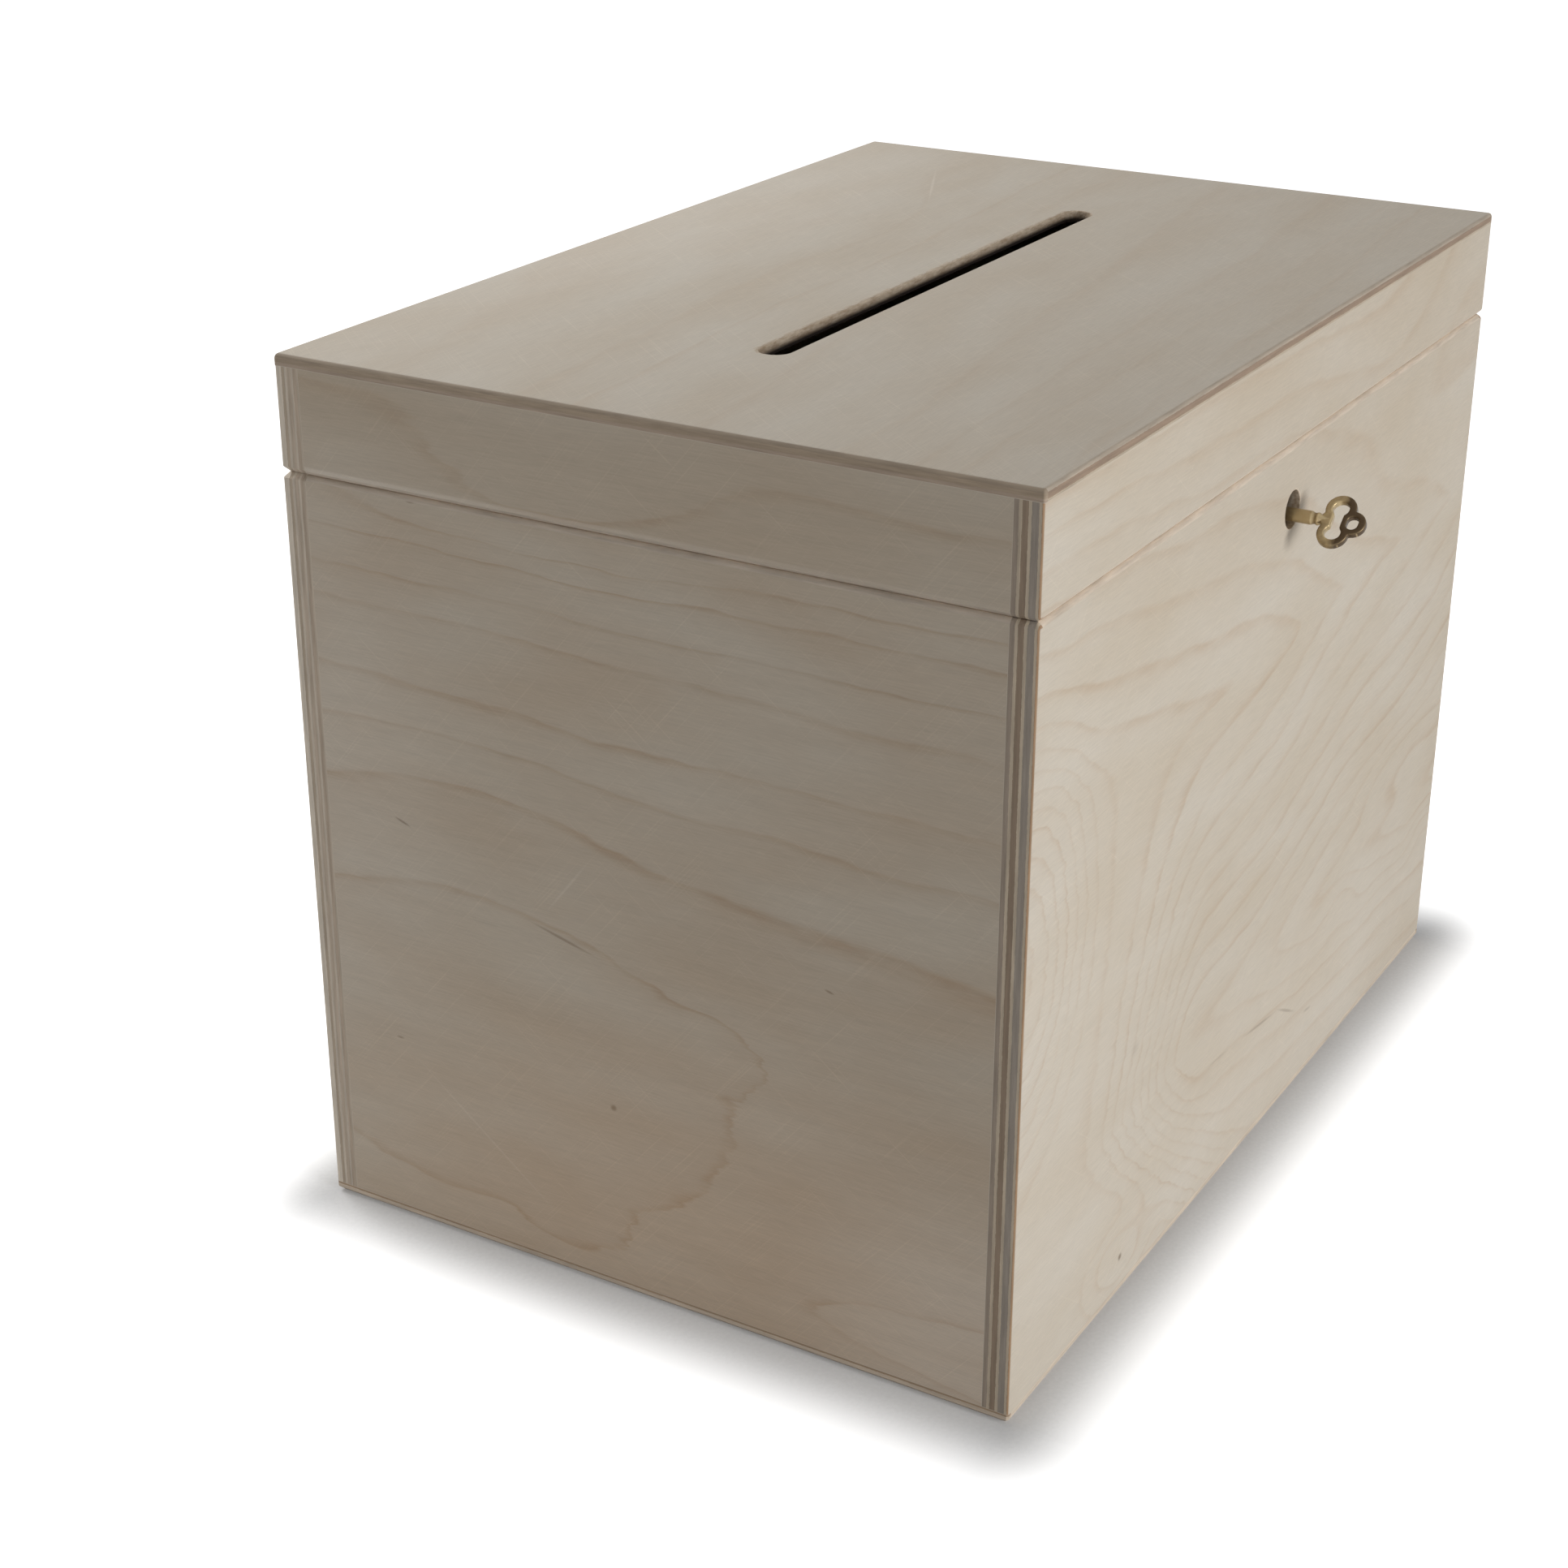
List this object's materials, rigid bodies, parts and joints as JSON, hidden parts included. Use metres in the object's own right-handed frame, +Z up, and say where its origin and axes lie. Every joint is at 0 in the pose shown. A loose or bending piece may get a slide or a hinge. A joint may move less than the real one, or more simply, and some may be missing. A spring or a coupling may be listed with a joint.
{
  "type": "wooden post box",
  "caption": "Plain birch plywood post box: hinged lid with a letter slot, hidden casket hinges at the back, and a box lock at the front whose key throws a sliding bolt.",
  "frame": {"origin": "middle of the underside of the bottom panel, where the box stands", "axes": "+X along the length towards the far end, +Y towards the hinge side, +Z up; the lock is on the -Y side"},
  "size_m": [0.29, 0.2197, 0.23],
  "materials": {
    "birch_plywood": "sanded, unfinished",
    "hinge_brass": "satin, antiqued",
    "screw_brass": "satin",
    "lock_brass": "satin, pressed sheet",
    "lock_steel": "plain, oiled",
    "key_brass": "antiqued, worn on the high places"
  },
  "bodies": {
    "case": {"lock_side_panel": "birch_plywood", "hinge_side_panel": "birch_plywood", "near_end_panel": "birch_plywood", "far_end_panel": "birch_plywood", "bottom_panel": "birch_plywood", "near_hinge_pin": "hinge_brass", "near_hinge_body_leaf": "hinge_brass", "near_hinge_body_screw_1": "screw_brass", "near_hinge_body_screw_2": "screw_brass", "far_hinge_pin": "hinge_brass", "far_hinge_body_leaf": "hinge_brass", "far_hinge_body_screw_1": "screw_brass", "far_hinge_body_screw_2": "screw_brass", "lock_backplate": "lock_brass", "lock_cover": "lock_brass", "lock_guide_stud_1": "lock_steel", "lock_guide_stud_2": "lock_steel", "lock_drill_pin": "lock_steel", "lock_detent_spring": "lock_steel", "lock_screw_1": "screw_brass", "lock_screw_2": "screw_brass", "lock_screw_3": "screw_brass", "lock_screw_4": "screw_brass"},
    "lid": {"lid_lock_rail": "birch_plywood", "lid_hinge_rail": "birch_plywood", "lid_near_rail": "birch_plywood", "lid_far_rail": "birch_plywood", "lid_top_panel": "birch_plywood", "near_hinge_lid_leaf": "hinge_brass", "near_hinge_lid_screw_1": "screw_brass", "near_hinge_lid_screw_2": "screw_brass", "far_hinge_lid_leaf": "hinge_brass", "far_hinge_lid_screw_1": "screw_brass", "far_hinge_lid_screw_2": "screw_brass", "lid_link_plate": "lock_brass", "link_plate_screw_1": "screw_brass", "link_plate_screw_2": "screw_brass"},
    "bolt": {"lock_bolt": "lock_steel"},
    "key": {"key": "key_brass"}
  },
  "joints": [
    {"name": "lid_hinge", "type": "hinge", "parent": "case", "child": "lid", "pos_m": [0, 0.09875, 0.201], "axis": [-1, 0, 0], "range_deg": [0, 95]},
    {"name": "key_turn", "type": "hinge", "parent": "case", "child": "key", "pos_m": [0, -0.093, 0.1825], "axis": [0, -1, 0], "range_deg": [0, 102]},
    {"name": "bolt_slide", "type": "slide", "parent": "case", "child": "bolt", "axis": [-1, 0, 0], "range_m": [0, 0.0067]}
  ],
  "couplings": [
    {"joint": "key_turn", "follows": "bolt_slide", "rad_per_m": 265.7}
  ]
}
